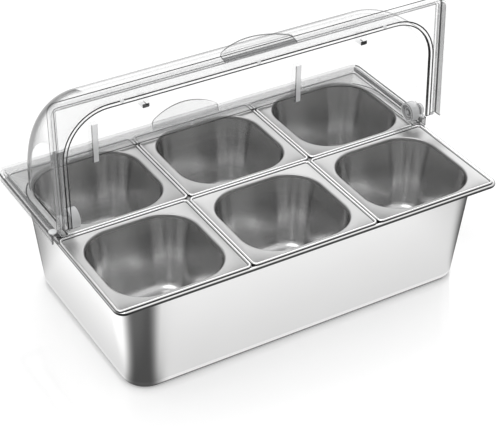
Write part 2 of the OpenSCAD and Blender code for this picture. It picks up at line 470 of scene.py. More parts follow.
def arc(cx: float, cy: float, radius: float, start: float, end: float,
        steps: int) -> np.ndarray:
    """Points of an arc: centre + radius * (cos, sin) of evenly spaced angles in degrees.

    Args:
        cx: first number of the centre.
        cy: second number of the centre.
        radius: distance from it.
        start: first angle.
        end: last angle.
        steps: how many steps lie between them.

    Returns:
        Array of shape (steps + 1, 2).
    """
    angle = np.radians(np.linspace(start, end, steps + 1))
    return np.stack([cx + radius * np.cos(angle), cy + radius * np.sin(angle)], 1)


def grid_faces(rows: int, columns: int, wrap_rows: bool, wrap_columns: bool,
               start: int = 0) -> np.ndarray:
    """Quads of a grid whose point (i, j) has the number start + i * columns + j.

    Args:
        rows: rows of points.
        columns: columns of points.
        wrap_rows: join the last row to the first.
        wrap_columns: join the last column to the first.
        start: number of the first point.

    Returns:
        Array of shape (quads, 4).
    """
    i = np.arange(rows if wrap_rows else rows - 1)
    j = np.arange(columns if wrap_columns else columns - 1)
    i, j = np.meshgrid(i, j, indexing="ij")
    following_i, following_j = (i + 1) % rows, (j + 1) % columns
    quads = np.stack([i * columns + j, following_i * columns + j,
                      following_i * columns + following_j, i * columns + following_j], -1)
    return quads.reshape(-1, 4) + start


class Piece:
    """A mesh in the making: grids and plates in millimetres, with a finish for each."""

    def __init__(self, name: str) -> None:
        """Start an empty piece.

        Args:
            name: the piece's name.
        """
        self.name = name
        self.points: list[np.ndarray] = []
        self.faces: list[tuple] = []
        self.slots: list[int] = []
        self.finishes: list[bpy.types.Material] = []
        self.count = 0

    def slot(self, finish: bpy.types.Material) -> int:
        """Number of a finish on this piece.

        Args:
            finish: the material, which is added if it is new here.

        Returns:
            Its slot number.
        """
        if finish not in self.finishes:
            self.finishes.append(finish)
        return self.finishes.index(finish)

    def add_points(self, points: np.ndarray) -> int:
        """Add points.

        Args:
            points: array of shape (..., 3).

        Returns:
            The number of the first.
        """
        first = self.count
        flat = np.asarray(points, float).reshape(-1, 3)
        self.points.append(flat)
        self.count += len(flat)
        return first

    def add_grid(self, points: np.ndarray, finish: bpy.types.Material | np.ndarray,
                 wrap_rows: bool = False, wrap_columns: bool = False,
                 flip: bool = False) -> int:
        """Add a grid of quads.

        Args:
            points: array of shape (rows, columns, 3).
            finish: one material, or the slot number of each row of quads or of each quad.
            wrap_rows: join the last row to the first.
            wrap_columns: join the last column to the first.
            flip: turn the faces over.

        Returns:
            The number of the grid's first point.
        """
        rows, columns = points.shape[:2]
        first = self.add_points(points)
        quads = grid_faces(rows, columns, wrap_rows, wrap_columns, first)
        if flip:
            quads = quads[:, ::-1]
        self.faces.extend(map(tuple, quads.tolist()))
        if isinstance(finish, np.ndarray):
            width = columns if wrap_columns else columns - 1
            bands = rows if wrap_rows else rows - 1
            each = finish[:bands, None] if finish.ndim == 1 else finish[:bands, :width]
            each = np.broadcast_to(each, (bands, width))
            self.slots.extend(each.astype(int).ravel().tolist())
        else:
            self.slots.extend([self.slot(finish)] * len(quads))
        return first

    def add_face(self, numbers: Sequence[int], finish: bpy.types.Material) -> None:
        """Add one flat face between points that are there already."""
        self.faces.append(tuple(int(n) for n in numbers))
        self.slots.append(self.slot(finish))

    def build(self, body: Body, nodes: Sequence[str], record_slot: str,
              crease: float = 32.0) -> bpy.types.Object:
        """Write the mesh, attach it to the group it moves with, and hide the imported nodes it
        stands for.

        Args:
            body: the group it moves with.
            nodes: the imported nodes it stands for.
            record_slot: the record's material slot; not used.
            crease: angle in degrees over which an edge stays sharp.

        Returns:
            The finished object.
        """
        mesh = bpy.data.meshes.new(self.name)
        mesh.from_pydata((np.concatenate(self.points) * MM).tolist(), [], self.faces)
        for finish in self.finishes:
            mesh.materials.append(finish)
        mesh.polygons.foreach_set("material_index", self.slots)
        mesh.update()
        mesh.validate()
        merge_points(mesh)
        mesh.shade_smooth()
        mesh.set_sharp_from_angle(angle=math.radians(crease))
        piece = add_object(self.name, mesh)
        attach(piece, body.value)
        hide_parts(*nodes)
        LOG.info("%s: %d faces", self.name, len(mesh.polygons))
        return piece


def merge_points(mesh: bpy.types.Mesh) -> None:
    """Join points that lie together, drop faces without area and turn the rest outwards.

    Args:
        mesh: the mesh, which is changed in place.
    """
    work = bmesh.new()
    work.from_mesh(mesh)
    bmesh.ops.remove_doubles(work, verts=work.verts, dist=MERGE)
    bmesh.ops.dissolve_degenerate(work, edges=work.edges, dist=DEGENERATE)
    bmesh.ops.recalc_face_normals(work, faces=work.faces)
    work.to_mesh(mesh)
    work.free()


@dataclass
class Section:
    """Rows of a section that is carried round a ring.

    Each row has a spread (1 on the path, 0 in the middle of the floor), a blend between the
    inner and the outer ring, a distance outwards, a height and a finish slot.
    """

    rows: list[tuple[float, float, float, float, int]] = field(default_factory=list)

    def add(self, points: np.ndarray, slot: int, blend: float = 0.0,
            spread: float = 1.0) -> None:
        """Append points (distance, height) that share a blend and a finish."""
        for distance, height in np.atleast_2d(points):
            self.rows.append((spread, blend, float(distance), float(height), slot))

    def surface(self, inner: Ring, outer: Ring) -> tuple[np.ndarray, np.ndarray]:
        """Points and finish slots of the swept surface.

        A point is spread * (axis blended between the rings) + distance * normal.

        Args:
            inner: the ring of the wall.
            outer: the ring of the rim.

        Returns:
            The grid of shape (rows, columns, 3) and the slot of each row.
        """
        spread, blend, distance, height, slot = np.array(self.rows).T
        inner_axes, normals = inner.columns()
        outer_axes, _ = outer.columns()
        axes = (1 - blend)[:, None, None] * inner_axes + blend[:, None, None] * outer_axes
        plan = spread[:, None, None] * axes + distance[:, None, None] * normals
        tall = np.broadcast_to(height[:, None, None], plan.shape[:2] + (1,))
        return np.concatenate([plan, tall], 2), slot


# The steel pans


@dataclass
class PanShape:
    """Sizes of a pressed pan in millimetres, as in the part's source.

    Args:
        half_x: half the length over the outside of the wall, at its top.
        half_y: half the width there.
        corner: corner radius there.
        low: height of the underside of the floor.
        top: height of the upper face round the hollow.
        taper: how much nearer to the middle the wall stands at its foot.
        fillet: outer radius of the foot.
        bend: outer radius of the bend at the top of the wall.
        sheet: thickness.
    """

    half_x: float
    half_y: float
    corner: float
    low: float
    top: float
    taper: float
    fillet: float
    bend: float
    sheet: float

    def inner_ring(self) -> Ring:
        """Ring of the wall's corner axes."""
        return Ring(self.half_x - self.corner, self.half_y - self.corner)

    def foot(self) -> float:
        """Distance at which the floor ends."""
        return self.corner - self.taper - self.fillet

    def under(self, section: Section, slot: int) -> None:
        """Add the outside, from the middle of the floor to the end of the bend.

        Args:
            section: the section that is added to.
            slot: finish of the outside.
        """
        section.add([(0, self.low)], slot, spread=0.0)
        section.add([(0, self.low)], slot, spread=0.5)
        section.add([(0, self.low), (self.foot() * 0.5, self.low)], slot)
        section.add(arc(self.foot(), self.low + self.fillet, self.fillet, -90, 0, 10), slot)
        start = np.array([self.corner - self.taper, self.low + self.fillet])
        end = np.array([self.corner, self.top - self.sheet - self.bend])
        section.add(start + np.linspace(0.08, 0.97, 10)[:, None] * (end - start), slot)
        section.add(arc(self.corner + self.bend, end[1], self.bend, 180, 90, 6), slot)

    def over(self, section: Section, slot: int, bend_slot: int) -> None:
        """Add the inside, from the end of the bend down to the middle of the floor.

        Args:
            section: the section that is added to.
            slot: finish of the wall and the floor.
            bend_slot: finish of the bend.
        """
        hip = (self.corner + self.bend, self.top - self.sheet - self.bend)
        section.add(arc(*hip, self.bend + self.sheet, 90, 180, 8), bend_slot)
        start = np.array([self.corner - self.sheet, hip[1]])
        end = np.array([self.corner - self.taper - self.sheet, self.low + self.fillet])
        section.add(start + np.linspace(0.03, 0.92, 10)[:, None] * (end - start), slot)
        floor = self.low + self.sheet
        section.add(arc(self.foot(), self.low + self.fillet, self.fillet - self.sheet, 0, -90,
                        10), slot)
        section.add([(self.foot() * 0.5, floor), (0, floor)], slot)
        section.add([(0, floor)], slot, spread=0.5)
        section.add([(0, floor)], slot, spread=0.0)


@dataclass
class IcePan:
    """The deep pan with its rolled rim.

    Args:
        wall: finish of the wall and the floor.
        edge: finish of the shoulder and of the rim's upper part.
        shade: finish of the rim's outer and lower part, nearly black steel that paints the shade
            under the rolled edge.
        rim_x: half the length over the rim.
        rim_y: half the width over the rim.
        rim_corner: corner radius of the rim's outside.
        crown: height of the rim.
        curl: outside diameter of the rolled edge.
        shape: the hollow.
    """

    wall: bpy.types.Material
    edge: bpy.types.Material
    shade: bpy.types.Material
    rim_x: float = 265.0
    rim_y: float = 162.5
    rim_corner: float = 13.0
    crown: float = 148.0
    curl: float = 5.5
    shape: PanShape = field(default_factory=lambda: PanShape(
        half_x=252.5, half_y=153.0, corner=47.0, low=0.0, top=147.0, taper=15.5, fillet=9.0,
        bend=1.5, sheet=0.8))

    def build(self) -> None:
        """Sweep the sheet: floor, wall, shoulder and rolled edge, out and back again."""
        piece = Piece("ice_pan_sheet")
        wall, edge = piece.slot(self.wall), piece.slot(self.edge)
        section = Section()
        radius, thick = self.curl / 2, self.shape.sheet
        centre = self.rim_corner - radius
        height = self.crown - radius
        low = self.shape.top - thick
        rise = low - height
        begin = math.degrees(math.asin((rise + thick) / radius))
        shade = piece.slot(self.shade)
        self.shape.under(section, wall)
        reach = self.rim_corner - self.curl - 0.9
        section.add([(reach, low), (centre - radius + 0.85, low)], edge, blend=1.0)
        section.add(arc(centre, height, radius - thick, 180 - math.degrees(
            math.asin(rise / (radius - thick))), -122, 22), edge, blend=1.0)
        # Painted shade: the rim's outer and lower part takes the nearly black steel.
        section.add(arc(centre, height, radius, -122, 20, 18), shade, blend=1.0)
        section.add(arc(centre, height, radius, 20, 180 - begin, 21)[1:], edge, blend=1.0)
        section.add([(reach, self.shape.top)], edge, blend=1.0)
        self.shape.over(section, wall, wall)
        points, slots = section.surface(
            self.shape.inner_ring(),
            Ring(self.rim_x - self.rim_corner, self.rim_y - self.rim_corner))
        piece.add_grid(points, slots, wrap_columns=True)
        piece.build(Body.TRAY, ["base_pan"], "ice_pan_steel")


@dataclass
class FoodPans:
    """The six lift-out pans, all of one shape.

    Args:
        inside: finish of the hollow.
        flange: finish of the flange.
        edge: finish of the bead's upper part and of its underside.
        shade: finish of the bead's two sides, nearly black steel that paints thin lines of shade
            beside the bead.
        column: distance between the middles of two pans of a row.
        row: distance of a row's middle from the tray's.
        shift: how far the rear row lies to the right, and the front row to the left.
        half_x: half the length over the flange.
        half_y: half the width over the flange.
        corner: corner radius of the flange.
        seat: height of the flange's underside.
        bead: outside width of the bead.
        sheet: thickness.
        margin_x: flat width of the flange at the hollow's ends.
        margin_y: the same at its long sides.
        hollow_corner: corner radius of the hollow where the flange begins.
        floor: height of the underside of the floor.
        taper: how much nearer to the middle the wall stands at its foot.
        fillet: outer radius of the foot.
        bend: outer radius of the bend at the top of the wall.
    """

    inside: bpy.types.Material
    flange: bpy.types.Material
    edge: bpy.types.Material
    shade: bpy.types.Material
    column: float = 174.8
    row: float = 80.3
    shift: float = 2.3
    half_x: float = 87.2
    half_y: float = 79.8
    corner: float = 7.5
    seat: float = 148.0
    bead: float = 4.0
    sheet: float = 0.7
    margin_x: float = 12.3
    margin_y: float = 6.8
    hollow_corner: float = 48.0
    floor: float = 48.7
    taper: float = 13.0
    fillet: float = 12.0
    bend: float = 1.7

    def shape(self) -> PanShape:
        """Shape of the hollow, whose corner is measured at its wall.

        Returns:
            The shape.
        """
        return PanShape(
            half_x=self.half_x - self.margin_x - self.bend,
            half_y=self.half_y - self.margin_y - self.bend,
            corner=self.hollow_corner - self.bend, low=self.floor, top=self.seat + self.sheet,
            taper=self.taper, fillet=self.fillet, bend=self.bend, sheet=self.sheet)

    def build(self) -> None:
        """Build each pan under its own name."""
        for level, row in (("front", -1), ("rear", 1)):
            for side, column in (("left", -1), ("middle", 0), ("right", 1)):
                self.build_one(f"{level}_{side}_pan", column * self.column + row * self.shift,
                               row * self.row)

    def build_one(self, node: str, x: float, y: float) -> None:
        """Sweep one pan: hollow, flange and raised bead, and back along the other face.

        Args:
            node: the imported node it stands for.
            x: place of its middle along X.
            y: place of its middle along Y.
        """
        piece = Piece(node + "_sheet")
        inside = piece.slot(self.inside)
        flange, edge = piece.slot(self.flange), piece.slot(self.edge)
        shape, section = self.shape(), Section()
        radius, thick = self.bead / 2, self.sheet
        centre, top = self.corner - radius, self.seat + self.sheet
        shape.under(section, inside)
        section.add([(centre - radius, self.seat), (centre - radius + thick, self.seat)], edge,
                    blend=1.0)
        section.add(arc(centre, top, radius - thick, 180, 0, 12), edge, blend=1.0)
        # Painted shade: the bead's two sides take the nearly black steel.
        shade = piece.slot(self.shade)
        section.add([(centre + radius - thick, self.seat), (centre + radius, self.seat)],
                    shade, blend=1.0)
        section.add(arc(centre, top, radius, 0, 24, 3), shade, blend=1.0)
        section.add(arc(centre, top, radius, 24, 154, 17)[1:], edge, blend=1.0)
        section.add(arc(centre, top, radius, 154, 176, 3)[1:], shade, blend=1.0)
        section.add([(centre - radius - 0.3, top)], flange, blend=1.0)
        shape.over(section, inside, flange)
        points, slots = section.surface(
            shape.inner_ring(), Ring(self.half_x - self.corner, self.half_y - self.corner))
        piece.add_grid(points + np.array([x, y, 0.0]), slots, wrap_columns=True)
        piece.build(Body.TRAY, [node], "food_pan_steel")


@dataclass
class SupportBar:
    """Folded channel under the seam between the rows, with flat ends.

    Args:
        finish: the steel, whose low tone paints the shade the bar lies in under the flanges.
        half_width: half its width.
        half_length: half its length.
        lip_length: half the length of its folded part.
        top: height of its upper face.
        sheet: thickness.
        depth: how far its lips hang under the sheet.
    """

    finish: bpy.types.Material
    half_width: float = 6.5
    half_length: float = 259.0
    lip_length: float = 249.7
    top: float = 148.0
    sheet: float = 1.0
    depth: float = 8.0

    def build(self) -> None:
        """Carry the folded section along X, and the plain sheet to the two ends."""
        piece = Piece("support_bar_sheet")
        w, t, round_out = self.half_width, self.sheet, 0.9
        outer = np.concatenate([
            [(-w, self.top - t - self.depth)],
            arc(-w + round_out, self.top - round_out, round_out, 180, 90, 4),
            arc(w - round_out, self.top - round_out, round_out, 90, 0, 4),
            [(w, self.top - t - self.depth)]])
        inner = np.concatenate([
            [(w - t, self.top - t - self.depth)], [(w - t, self.top - t)],
            [(-w + t, self.top - t)], [(-w + t, self.top - t - self.depth)]])
        self._bar(piece, np.concatenate([outer, inner]), -self.lip_length, self.lip_length)
        flat = np.array([(-w, self.top - t), (-w, self.top), (w, self.top), (w, self.top - t)])
        self._bar(piece, flat, self.lip_length, self.half_length)
        self._bar(piece, flat, -self.half_length, -self.lip_length)
        piece.build(Body.TRAY, ["support_bar"], "bar_steel", crease=25.0)

    def _bar(self, piece: Piece, outline: np.ndarray, start: float, end: float) -> None:
        """Extrude an outline (y, z) from start to end along X and close its ends.

        Args:
            piece: the mesh that is added to.
            outline: the outline's points.
            start: first place along X.
            end: last place along X.
        """
        along = np.linspace(start, end, 3)
        points = np.zeros((3, len(outline), 3))
        points[..., 0] = along[:, None]
        points[..., 1:] = outline
        first = piece.add_grid(points, self.finish, wrap_columns=True)
        count = len(outline)
        piece.add_face(range(first, first + count), self.finish)
        piece.add_face(range(first + 2 * count, first + 3 * count), self.finish)


# The clear cover


@dataclass(frozen=True)
class CoverFinishes:
    """Finishes of the clear mouldings: one clear plastic, and lighter and darker copies of it
    that paint the light and shade of its faces and edges.

    Args:
        wall: the round wall.
        plate: the flange, its fillet and the top of the border, a lighter copy that paints light
            on these flat faces.
        line: edges painted as a dark line of shade.
        band: upright faces of the border, painted as a grey band of shade.
        painted_black_line: the edge of the opening, painted darkest of all as a line of shade.
        grip: the grip.
        painted_grey_shade: painted grey shade on the outside of the skirt, the long side of the
            rear half's flange, and the border at the left end of the open half.
        painted_dark_corner: painted shade on the round corner at the left end, which is dark
            over a wider band.
        white: painted white light on studs, buttons and the front of the ribs.
    """

    wall: bpy.types.Material
    plate: bpy.types.Material
    line: bpy.types.Material
    band: bpy.types.Material
    painted_black_line: bpy.types.Material
    grip: bpy.types.Material
    painted_grey_shade: bpy.types.Material
    painted_dark_corner: bpy.types.Material
    white: bpy.types.Material


@dataclass
class HalfCover:
    """One half of the cover: round wall, flange, raised border, grip, ribs and studs.

    It is worked out to the rear of the hinge line with that line through zero, and then
    turned and moved to its place. Distances along Y are from that line.

    Args:
        node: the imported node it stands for.
        body: the group it moves with.
        look: its finishes.
        radius: outer radius of the round wall.
        end: half the length over the round wall.
        blend: radius of the round wall's two corners.
        drop: how far the underside of the flange lies below the hinge line.
        over: degrees by which the round wall runs on past upright.
        rib_height: height of the inner ribs.
        opened: degrees by which it is turned open, or None for the rear half.
        hinge_z: height of the hinge line.
        wall: thickness.
        flange_x: half the length over the border.
        flange_y: how far the border reaches along Y.
        flange_corner: corner radius of the border's outside.
        border: width of the raised border.
        rise: how far the border stands above the flange.
        skirt: how far the border's edge hangs below the underside of the flange.
        split: gap between the hinge line and the start of the flange.
        groove: depth of the groove under the flange.
        stud_line: distance of the groove and the studs along Y.
        grip_width: width of the grip.
        grip_side: height of the grip's two sides.
        grip_rise: how much higher it is in the middle.
        grip_lean: degrees by which it leans outwards.
        grip_place: place of its foot along Y.
        grip_corner: radius of its corners.
        ear: radius of the half discs that hold the pins.
        rib_place: distance of a rib from the middle.
        rib_half: half the width of a rib.
        rib_reach: how far a rib stands in from the wall.
        studs: places of the studs along X.
        button_place: place of a button along X and Y.
        buttons: whether there are buttons.
    """

    node: str
    body: Body
    look: CoverFinishes
    radius: float
    end: float
    blend: float
    drop: float
    over: float
    rib_height: float
    opened: float | None
    hinge_z: float = 173.6
    wall: float = 2.5
    flange_x: float = 270.0
    flange_y: float = 166.5
    flange_corner: float = 11.0
    border: float = 9.0
    rise: float = 4.0
    skirt: float = 7.0
    split: float = 0.5
    groove: float = 0.5
    stud_line: float = 148.3
    grip_width: float = 98.0
    grip_side: float = 15.0
    grip_rise: float = 15.0
    grip_lean: float = 14.0
    grip_place: float = 163.2
    grip_corner: float = 4.0
    ear: float = 14.0
    rib_place: float = 150.0
    rib_half: float = 4.5
    rib_reach: float = 12.0
    studs: tuple[float, ...] = (-180.0, 0.0, 180.0)
    button_place: tuple[float, float] = (265.5, 6.5)
    buttons: bool = False

    def path(self, axis_x: float, axis_y: float,
             start: float) -> tuple[np.ndarray, np.ndarray]:
        """Open path round three sides, from the hinge line on the right to that on the left.

        Its points along the two ends lie closest together near the hinge line.

        Args:
            axis_x: half the distance between the two corner axes.
            axis_y: their distance from the hinge line.
            start: where the path starts along Y.

        Returns:
            Axis points and outward normals, each of shape (columns, 2).
        """
        run = np.array([0.0, 0.06, 0.16, *np.linspace(0.3, 1.0, 4)])
        up = start + run * (axis_y - start)
        angle = np.radians(np.linspace(0, 90, 15))
        right = np.stack([np.full_like(up, axis_x), up], 1)
        corner = np.repeat([[axis_x, axis_y]], len(angle) - 1, 0)
        along = np.linspace(1, -1, 9)[1:-1]
        top = np.stack([axis_x * along, np.full_like(along, axis_y)], 1)
        points = np.concatenate([right, corner, top, (corner * [-1, 1])[::-1],
                                 (right * [-1, 1])[::-1]])
        turn = np.stack([np.cos(angle), np.sin(angle)], 1)
        ends = np.repeat([[1.0, 0.0]], len(up), 0)
        flat = np.repeat([[0.0, 1.0]], len(along), 0)
        normals = np.concatenate([ends, turn[1:], flat, (turn[1:] * [-1, 1])[::-1],
                                  ends * [-1, 1]])
        return points, normals

    def turned(self, points: np.ndarray) -> np.ndarray:
        """Turn the front half round the hinge line, and lift either half to that line.

        Args:
            points: array of shape (..., 3), with the hinge line through zero.

        Returns:
            The points in their place.
        """
        result = np.array(points, float)
        if self.opened is not None:
            result[..., :2] *= -1
            angle = math.radians(-self.opened)
            y, z = result[..., 1].copy(), result[..., 2].copy()
            result[..., 1] = y * math.cos(angle) - z * math.sin(angle)
            result[..., 2] = y * math.sin(angle) + z * math.cos(angle)
        result[..., 2] += self.hinge_z
        return result

    def build(self) -> None:
        """Build the half and all that is moulded with it."""
        piece = Piece(self.node + "_moulding")
        self._shell(piece)
        self._ears(piece)
        self._grip(piece)
        self._ribs(piece)
        self._studs(piece)
        if self.buttons:
            self._buttons(piece)
        piece.build(self.body, [self.node], "clear_cover", crease=28.0)

    def _shell(self, piece: Piece) -> None:
        """Round wall with its flange and border, and the thickness of its free edges.

        The round wall is its outer face alone, so that one wall is one see-through layer.
        Below the hinge line a row is a section point carried along the path. Above it the
        path itself is turned about the hinge line, so its distance from the line becomes
        (distance * cos, distance * sin).

        Args:
            piece: the mesh that is added to.
        """
        b, w, fc, low = self.blend, self.wall, self.flange_corner, -self.drop
        inner_axes, normals = self.path(self.end - b, self.radius - b, 0.0)
        wall_axes, _ = self.path(self.end - b, self.radius - b, self.split)
        outer_axes, _ = self.path(self.flange_x - fc, self.flange_y - fc, self.split)
        look = self.look
        wall, plate, line, band, painted_black_line, painted_grey_shade, painted_dark_corner = (piece.slot(finish) for finish in (
            look.wall, look.plate, look.line, look.band, look.painted_black_line, look.painted_grey_shade, look.painted_dark_corner))
        inset = fc - self.border
        turn = np.radians(np.linspace(90 + self.over, 0, 80))
        rows, slots = [], []

        def dome(distance: float, angles: np.ndarray) -> None:
            """Rows turned about the hinge line.

            Args:
                distance: distance outwards from the corner axes.
                angles: angle of each row.
            """
            plan = inner_axes + distance * normals
            for angle in angles:
                rows.append(np.stack([plan[:, 0], plan[:, 1] * math.cos(angle),
                                      plan[:, 1] * math.sin(angle)], 1))
                slots.append(wall)

        def ring(distance: float, height: float, blend: float, slot: int) -> None:
            """One row below the hinge line.

            Args:
                distance: distance outwards from the corner axes.
                height: height over the hinge line.
                blend: 0 on the wall's path, 1 on the flange's.
                slot: finish of the row.
            """
            plan = (1 - blend) * wall_axes + blend * outer_axes + distance * normals
            rows.append(np.concatenate([plan, np.full((len(plan), 1), height)], 1))
            slots.append(slot)

        lip, foot, top = 1.2, low + w, low + self.rise + w
        dome(b - w, turn[:1])
        slots[-1] = plate
        dome(b - 0.4, turn[:1])
        dome(b, turn)
        below = len(rows)
        for height in np.linspace(-4, foot + lip, 4):
            ring(b, height, 0.0, wall)
        wall_foot = len(rows) - 1
        for angle in np.radians([200, 225, 250, 270]):
            ring(b + lip + lip * math.cos(angle), foot + lip + lip * math.sin(angle), 0.0,
                 plate)
        border_start = len(rows)
        # The border's rows take the line, band and ink finishes, which paint shade along its
        # edges, and the plate finish, which paints light on its top.
        for distance, height, slot in (
                (inset - 0.6, foot, line), (inset, foot + 0.6, band), (inset, top - 0.8, line),
                (inset + 0.8, top, plate), (fc - 1.0, top, line), (fc - 0.3, top - 0.3, painted_black_line),
                (fc, top - 1.0, painted_black_line), (fc, top - 3.0, painted_grey_shade), (fc, low - self.skirt + 0.7, line),
                (fc - 0.4, low - self.skirt, plate), (fc - w + 0.4, low - self.skirt, line),
                (fc - w, low - self.skirt + 0.5, band), (fc - w, low + self.rise, plate),
                (inset + w, low + self.rise, band), (inset + w, low + 0.2, line),
                (inset + w - 0.6, low, plate)):
            ring(distance, height, 1.0, slot)
        groove_start = len(rows)
        seat = b + self.stud_line - self.radius
        for distance, height, slot in (
                (seat + 0.9, low, line), (seat + 0.8, low + self.groove, painted_black_line),
                (seat - 0.8, low + self.groove, line), (seat - 0.9, low, plate),
                (b - w + 1.6, low, painted_black_line), (b - w + 0.4, low, painted_black_line),
                (b - w, low + 0.4, painted_black_line)):
            ring(distance, height, 0.0, slot)
        ring(b - w, low + (1.4 if self.opened is None else 3.2), 0.0, wall)
        grid = self.turned(np.stack(rows))
        finish = np.repeat(np.array(slots)[:, None], len(normals), 1)
        along = np.abs(normals[:, 1]) > 0.7
        finish[(finish == band) & along] = plate
        # Painted grey shade: on the rear half it goes on the plate, line and ink rows of the
        # long side, and on the open half on the upright border faces of its left end.
        if self.opened is None:
            leftward = -normals[:, 0]
            finish[((finish == plate) | (finish == line)) & along] = painted_grey_shade
            border_to_groove = finish[border_start:groove_start + 2]
            border_to_groove[(border_to_groove == painted_black_line) & along] = painted_grey_shade
        else:
            leftward = normals[:, 0]
            finish[(finish == band) & (leftward > 0)] = painted_grey_shade
        # Painted shade: the round corner at the left end takes the dark corner finish over the
        # wall.
        corner = (leftward > 0.12) & (normals[:, 1] > 0.05)
        finish[:below][:, corner] = painted_dark_corner
        first = piece.add_grid(grid, finish)
        columns = grid.shape[1]
        section = np.arange(wall_foot, len(rows))
        piece.add_face(first + section * columns, look.line)
        piece.add_face(first + section[::-1] * columns + columns - 1, look.line)

    def _ears(self, piece: Piece) -> None:
        """Half discs beyond the hinge line, r * (cos, sin) from 90 to 270 degrees.

        Args:
            piece: the mesh that is added to.
        """
        radius = self.ear
        angle = np.radians(np.linspace(90 + self.over, 270, 22))
        for side in End:
            x = side.value * np.array([self.end - self.wall, self.end - self.wall + 0.4,
                                       self.end - 0.4, self.end])
            reach = np.array([radius - 0.4, radius, radius, radius - 0.4])
            rows = []
            for place, r in zip([x[0], *x, x[-1]], [0.0, *reach, 0.0]):
                rows.append(np.stack([np.full_like(angle, place), r * np.cos(angle),
                                      r * np.sin(angle)], 1))
            piece.add_grid(self.turned(np.stack(rows)), np.array(
                [piece.slot(self.look.wall), piece.slot(self.look.line),
                 piece.slot(self.look.wall), piece.slot(self.look.line),
                 piece.slot(self.look.wall)]), flip=side is End.LEFT)

    def _grip(self, piece: Piece) -> None:
        """Grip: outline rows (x, h) on a plate that leans outwards.

        The top edge is the arch h = side + rise * (1 - (2x / width)^2). Its corners are
        rounded off, and two ridges run across the outer face.

        Args:
            piece: the mesh that is added to.
        """
        half, side, rise, thick = self.grip_width / 2, self.grip_side, self.grip_rise, self.wall
        lean = math.radians(self.grip_lean)
        corner = self.grip_corner
        s = np.sin(np.linspace(-math.pi / 2, math.pi / 2, 61))
        x = half * s
        near = np.clip(half - np.abs(x), 0, corner)
        edge = side + rise * (1 - s ** 2) - (corner - np.sqrt(
            np.clip(corner ** 2 - (corner - near) ** 2, 0, None)))
        levels = np.array([0, 0.3, 4.4, 4.6, 5.4, 5.6, 12.4, 12.6, 13.2, 13.4, 13.8])
        ridge = np.array([0, 0, 0, 0.7, 0.7, 0, 0, 0.7, 0.7, 0, 0, 0, 0, -0.3])
        height = np.minimum(levels[:, None], edge)
        above = np.array([0.5, 0.9, 1.0])[:, None]
        height = np.concatenate([height, height[-1] + above * (edge - height[-1])])
        outline = [np.stack([x, np.full_like(x, thick + bump), level], 1)
                   for level, bump in zip(height, ridge)]
        outline += [np.stack([x, np.zeros_like(x), level], 1) for level in height[::-1]]
        grid = np.stack(outline)
        y, z = grid[..., 1].copy(), grid[..., 2].copy()
        grid[..., 1] = y * math.cos(lean) + z * math.sin(lean)
        grid[..., 2] = -y * math.sin(lean) + z * math.cos(lean)
        grid += np.array([0.0, self.grip_place, -self.skirt - self.drop])
        plate, line = piece.slot(self.look.grip), piece.slot(self.look.line)
        slots = np.full(len(outline), plate)
        slots[[2, 6, 8]] = piece.slot(self.look.band)
        slots[len(height) - 2:len(height)] = line
        first = piece.add_grid(self.turned(grid), slots, wrap_rows=True)
        columns, rows = grid.shape[1], grid.shape[0]
        ends = first + np.arange(rows) * columns
        piece.add_face(ends, self.look.line)
        piece.add_face(ends[::-1] + columns - 1, self.look.line)

    def _ribs(self, piece: Piece) -> None:
        """Ribs inside the round wall, from the flange up: a rounded bar whose back follows
        the wall, at distance sqrt(radius^2 - z^2) above the hinge line.

        Args:
            piece: the mesh that is added to.
        """
        half, reach, low = self.rib_half, self.rib_reach, -self.drop
        z = np.concatenate([[low, low + 0.8], np.linspace(low + 3, low + self.rib_height, 10)])
        back = np.sqrt((self.radius - self.wall + 0.4) ** 2 - np.clip(z, 0, None) ** 2)
        front = self.radius - self.wall - reach
        across = np.array([-half, -half, -half + 1.2, half - 0.8, half, half])
        count = len(across)
        slots = np.array([piece.slot(finish) for finish in (
            self.look.wall, self.look.line, self.look.white, self.look.band, self.look.wall,
            self.look.wall)])
        for side in End:
            rows = []
            for height, deep in zip(z, back):
                depth = np.array([deep, front + 0.8, front, front, front + 0.8, deep])
                rows.append(np.stack([across + side.value * self.rib_place, depth,
                                      np.full(count, height)], 1))
            first = piece.add_grid(self.turned(np.stack(rows)),
                                   np.tile(slots, (len(z), 1)), wrap_columns=True)
            cut = self.turned(np.array([(side.value * self.rib_place + x, front + 5.0, low)
                                        for x in (-half, half)]))
            middle = piece.add_points(cut)
            # Painted shade: the rib's cut face takes the darkest line finish.
            piece.add_face([middle, *range(first + 1, first + 5), middle + 1], self.look.painted_black_line)
            piece.add_face([first, middle, middle + 1, first + 5], self.look.wall)
            top = first + count * (len(z) - 1)
            piece.add_face(range(top + count - 1, top - 1, -1), self.look.wall)

    def _turned_profile(self, piece: Piece, profile: Sequence[tuple[float, float]], x: float,
                        y: float) -> None:
        """Turn a profile about an upright axis: (x + r * cos, y + r * sin, height).

        Args:
            piece: the mesh that is added to.
            profile: points (radius, height over the flange).
            x: place of the axis along X.
            y: its distance from the hinge line.
        """
        angle = np.linspace(0, 2 * math.pi, 25)[:-1]
        rows = [np.stack([x + r * np.cos(angle), y + r * np.sin(angle),
                          np.full_like(angle, h - self.drop)], 1) for r, h in profile]
        piece.add_grid(self.turned(np.stack(rows)), self.look.white, wrap_columns=True)

    def _studs(self, piece: Piece) -> None:
        """Round studs under the flange.

        Args:
            piece: the mesh that is added to.
        """
        for place in self.studs:
            self._turned_profile(piece, [(0, -2.1), (1.7, -2.1), (2.2, -1.9), (2.5, -1.5),
                                         (2.5, 0.4)], place, self.stud_line)

